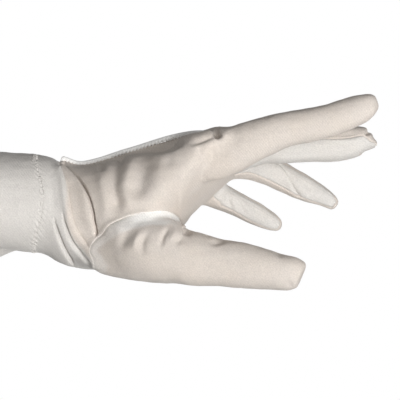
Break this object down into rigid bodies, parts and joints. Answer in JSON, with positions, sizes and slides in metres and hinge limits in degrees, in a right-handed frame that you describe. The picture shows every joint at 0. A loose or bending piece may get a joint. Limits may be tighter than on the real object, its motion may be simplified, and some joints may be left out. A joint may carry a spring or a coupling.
{
  "type": "glove",
  "caption": "Left-hand ivory dress glove in stretch tricot, held in the form of a reaching hand, with a set-in thumb, side strips between the fingers and a zigzag-stitched hem.",
  "frame": {"origin": "middle of the cuff's mouth, where the forearm goes in and holds the glove", "axes": "+X from the cuff's mouth to the fingertips, +Z to the back of the hand, +Y to the little finger's side"},
  "size_m": [0.2047, 0.0952, 0.1031],
  "materials": {
    "tricot": "fine matt ivory stretch tricot",
    "side_strip": "fine matt off-white tricot",
    "hem": "doubled matt off-white tricot"
  },
  "bodies": {
    "root": {"trank": "tricot", "thumb_piece": "tricot", "fourchette_index_middle": "side_strip", "fourchette_middle_ring": "side_strip", "fourchette_ring_little": "side_strip", "cuff_hem": "hem", "back_tuck": "hem"}
  },
  "joints": []
}
